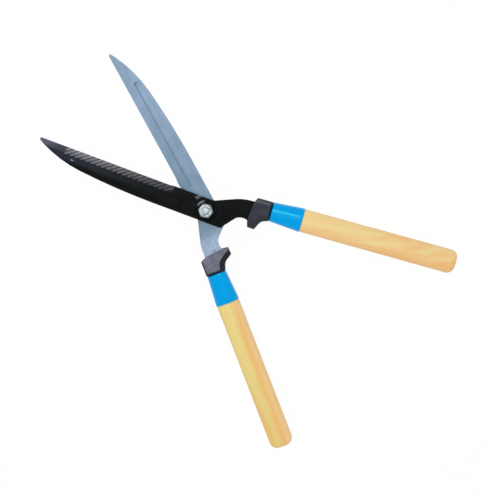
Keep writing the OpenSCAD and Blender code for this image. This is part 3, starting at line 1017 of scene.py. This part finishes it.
@dataclass(frozen=True)
class Taper:
    """An oval whose width and height change evenly from one place along a handle to another."""

    start: float
    stop: float
    front: Range
    rear: Range

    def row(self, x: float, inset: float = 0.0) -> Row:
        """The oval at a place along the handle, drawn in by an inset."""
        share = min(max((x - self.start) / (self.stop - self.start), 0.0), 1.0)
        width, height = (a + (b - a) * share - 2 * inset for a, b in zip(self.front, self.rear))
        return x, width, height

    def opening(self, x: float, radius: float, steps: int) -> list[Row]:
        """Rows of a rounded front edge that begins at a place."""
        turns = reversed(quarter(steps))
        return [self.row(x + radius * (1 - math.sin(t)), radius * (1 - math.cos(t))) for t in turns]

    def straight(self, start: float, stop: float, steps: int) -> list[Row]:
        """Rows between two places, without the two ends."""
        return [self.row(start + (stop - start) * i / steps) for i in range(1, steps)]

    def closing(self, x: float, radius: float, steps: int) -> list[Row]:
        """Rows of a rounded rear edge that begins at a place."""
        return [self.row(x + radius * math.sin(t), radius * (1 - math.cos(t))) for t in quarter(steps)]


@dataclass
class Ferrule:
    """A tapered steel ferrule, a tube with a rounded front rim."""

    half: Half
    length: float = 38.0
    front: Range = (23.4, 21.6)
    rear: Range = (29.3, 24.6)
    wall: float = 1.0
    rim_r: float = 0.8
    lip_r: float = 0.35
    lip_step: float = 0.1
    squareness: float = 2.8

    @property
    def taper(self) -> Taper:
        """The outside of the tube."""
        return Taper(0.0, self.length, self.front, self.rear)

    def rows(self) -> list[Row]:
        """The tube's profile: front rim, outside, rear lip, inside and back to the rim."""
        lip_x = self.length - self.lip_r
        rim = self.taper.opening(0.0, self.rim_r, steps=6)
        body = self.taper.straight(self.rim_r, lip_x, steps=8)
        lip = self.taper.closing(lip_x, self.lip_r, steps=6)
        inside = [self.taper.row(x, self.wall) for x in (self.length - self.lip_step, 0.0)]
        return [*rim, *body, *lip, *inside, rim[0]]

    def make(self, sweep: OvalSweep) -> None:
        """Sweeps, dresses and settles the ferrule."""
        word, place = self.half.word, STANCE.seat(self.half)
        coat = BluePaint().material(f"{word}_blue_paint", place)
        piece = sweep.make(f"{word}_ferrule", self.rows(), self.squareness, place, coat)
        settle(piece, self.half)


@dataclass
class Handle:
    """An oval wood handle: a neck inside the ferrule, the grip and a rounded end."""

    half: Half
    ferrule: Ferrule
    length: float = 229.8
    front: Range = (28.0, 23.4)
    rear: Range = (28.8, 24.0)
    end_r: float = 9.0
    neck_start: float = 1.0
    fit: float = 0.1
    shoulder_r: float = 0.5

    def rows(self) -> list[Row]:
        """The handle's profile from the neck's front to the end."""
        stop = self.length - self.end_r
        grip = Taper(self.ferrule.length, stop, self.front, self.rear)
        inset = self.ferrule.wall + self.fit
        neck = [self.ferrule.taper.row(x, inset) for x in (self.neck_start, self.ferrule.length)]
        front = self.ferrule.length + self.fit
        shoulder = grip.opening(front, self.shoulder_r, steps=5)
        body = grip.straight(front + self.shoulder_r, stop, steps=12)
        end = grip.closing(stop, self.end_r, steps=10)
        return [(self.neck_start, 0, 0), *neck, *shoulder, *body, *end, (self.length, 0, 0)]

    def wood(self) -> PaleWood:
        """The handle's own piece of wood."""
        if self.half is Half.GREY:
            sapwood = Band(
                shown(246, 208, 150), middle=15.0, inner=3.0, outer=9.0, lean=(0.012, 1.0), strength=0.85
            )
            return PaleWood(
                shown(236, 218, 140), shown(240, 190, 113), wander=1.3, side=(-1.0, 5.0), bands=(sapwood,)
            )
        sapwood = Band(shown(246, 200, 142), middle=15.0, inner=3.0, outer=8.0, strength=0.45)
        flame = Band(
            shown(245, 188, 122), middle=168.0, inner=3.0, outer=15.0, lean=(1.0, 1.6), strength=0.55
        )
        return PaleWood(
            shown(241, 216, 153),
            shown(243, 190, 124),
            slant=0.2,
            wander=5.0,
            side=(1.0, 10.0),
            side_share=0.55,
            far=(90.0, 165.0),
            far_share=0.26,
            figure_along=(90.0, 150.0),
            figure_share=0.8,
            bands=(flame, sapwood),
        )

    def make(self, sweep: OvalSweep) -> None:
        """Sweeps, dresses and settles the handle."""
        word, place = self.half.word, STANCE.seat(self.half)
        wood = self.wood().material(f"{word}_pale_wood", place)
        piece = sweep.make(f"{word}_handle", self.rows(), self.ferrule.squareness, place, wood)
        settle(piece, self.half)


@dataclass
class Pivot:
    """The bolt, the washers, the nut and its ring, copied from their solids with softened edges."""

    rounding: float = 0.25

    def finishes(self) -> dict[str, tuple[Material, str]]:
        """The material of each piece, and a slot name for it that make does not use."""
        place = Matrix.Identity(4)
        zinc = ZincSteel().material("zinc_steel", place)
        # Painted highlight: an arc along the front washer's rim.
        rim = Rub(shown(148, 148, 149), radius=12.0, width=2.3, direction=75.0, spread=30.0)
        black = BlackCoating((rim,)).material("washer_coating", place)
        nylon = Nylon().material("nylon", place)
        return {
            "pivot_bolt": (zinc, "zinc_steel"),
            "back_washer": (zinc, "zinc_steel"),
            "front_washer": (black, "black_coating"),
            "pivot_nut": (zinc, "zinc_steel"),
            "nut_ring": (nylon, "nylon"),
        }

    def make(self) -> None:
        """Builds, dresses and settles the pivot's pieces."""
        for node, (material, slot) in self.finishes().items():
            piece = solid_copy(node, flat=0.1)
            piece.data.materials.append(material)
            soften(piece, self.rounding, angle=28.0, segments=2, sharp=28.0)
            settle(piece, Half.GREY)


@dataclass(frozen=True)
class Studio:
    """White floor, soft light and the camera over the shears. The lamp and the floor are in metres."""

    target: tuple[float, float, float] = (-1.6, -70.5, 12.3)
    distance: float = 720.0
    lean: float = 5.0
    lean_to: Range = (0.824, 0.566)
    right_turn: float = -49.01
    mm_per_pixel: float = 1.207
    pixels: int = 500
    sensor: float = 36.0
    clip: Range = (0.01, 20.0)
    lamp_tilt: Range = (-6.0, 10.0)
    lamp_reach: float = 1.2
    lamp_size: Range = (0.6, 0.08)
    lamp_watts: float = 4.6
    soft_light: float = 0.66
    floor_half: float = 4.0
    floor_z: float = -0.0002
    floor_glow: float = 0.96

    def axes(self) -> tuple[Vector, Vector, Vector]:
        """The picture's right, up and towards-the-camera directions."""
        lean, turn = math.radians(self.lean), math.radians(self.right_turn)
        side = Vector((*self.lean_to, 0)).normalized()
        towards = side * math.sin(lean) + Vector((0, 0, math.cos(lean)))
        right = Vector((math.cos(turn), math.sin(turn), 0))
        right = (right - towards * right.dot(towards)).normalized()
        return right, towards.cross(right), towards

    def camera(self) -> None:
        """Sets the camera where the picture was taken from."""
        right, up, towards = self.axes()
        data = bpy.data.cameras.new("camera")
        data.sensor_width = self.sensor
        data.lens = self.sensor * self.distance / (self.pixels * self.mm_per_pixel)
        data.clip_start, data.clip_end = self.clip
        camera = link(bpy.data.objects.new("camera", data))
        turn = Matrix((right, up, towards)).transposed().to_4x4()
        spot = (Vector(self.target) + towards * self.distance) * MM
        camera.matrix_world = Matrix.Translation(spot) @ turn
        bpy.context.scene.camera = camera

    def lamp(self) -> None:
        """Hangs a long area lamp, tilted to the picture's right and up, that looks at the target."""
        right, up, _ = self.axes()
        aside, above = (math.tan(math.radians(angle)) for angle in self.lamp_tilt)
        aim = (Vector((0, 0, 1)) + right * aside + up * above).normalized()
        data = bpy.data.lights.new("key", "AREA")
        data.shape, data.energy = "RECTANGLE", self.lamp_watts
        data.size, data.size_y = self.lamp_size
        lamp = link(bpy.data.objects.new("key", data))
        across = (right - aim * right.dot(aim)).normalized()
        turn = Matrix((across, aim.cross(across), aim)).transposed().to_4x4()
        lamp.matrix_world = Matrix.Translation(Vector(self.target) * MM + aim * self.lamp_reach) @ turn

    @staticmethod
    def seen(wiring: Wiring) -> NodeSocket:
        """1 for rays from the camera and for mirror and glass rays, which show the background."""
        path = wiring.node("ShaderNodeLightPath")
        rays = ("Is Camera Ray", "Is Glossy Ray", "Is Transmission Ray")
        return wiring.total(*(path.outputs[ray] for ray in rays))

    def world(self) -> None:
        """A white world that lights the shears softly."""
        world = bpy.data.worlds.new("studio")
        world.use_nodes = True
        wiring = Wiring(world.node_tree)
        background = next(n for n in world.node_tree.nodes if n.type == "BACKGROUND")
        background.inputs["Color"].default_value = (1, 1, 1, 1)
        strength = wiring.between(self.seen(wiring), (self.soft_light, 1.0))
        wiring.feed(background.inputs["Strength"], strength)
        bpy.context.scene.world = world

    def floor(self) -> None:
        """A white floor just under the shears that keeps a faint shadow."""
        half = self.floor_half
        mesh = bpy.data.meshes.new("floor")
        corners = [(-half, -half), (half, -half), (half, half), (-half, half)]
        mesh.from_pydata([(x, y, self.floor_z) for x, y in corners], [], [(0, 1, 2, 3)])
        paint = Paint("white_floor", Matrix.Identity(4))
        paint.put(Base_Color=(1, 1, 1, 1), Roughness=1.0, Specular_IOR_Level=0.0)
        glow = paint.node("ShaderNodeEmission").outputs[0]
        share = paint.times(self.seen(paint), self.floor_glow)
        blend = paint.node("ShaderNodeMixShader", {0: share, 1: paint.shader.outputs[0], 2: glow})
        end = next(n for n in paint.tree.nodes if n.type == "OUTPUT_MATERIAL")
        paint.feed(end.inputs["Surface"], blend.outputs[0])
        mesh.materials.append(paint.material)
        link(bpy.data.objects.new("floor", mesh))

    def make(self) -> None:
        """Sets up the camera, the light and the floor."""
        bpy.context.scene.view_settings.view_transform = "Standard"
        self.camera()
        self.world()
        self.floor()
        self.lamp()


def main() -> None:
    """Builds the studio and every piece of the shears."""
    logging.basicConfig(level=logging.INFO, format="%(name)s %(message)s")
    Studio().make()
    sweep = OvalSweep()
    for half in Half:
        ferrule = Ferrule(half)
        Blade(half).make()
        Bumper(half).make()
        ferrule.make(sweep)
        Handle(half, ferrule).make(sweep)
    Pivot().make()


if __name__ == "__main__":
    main()
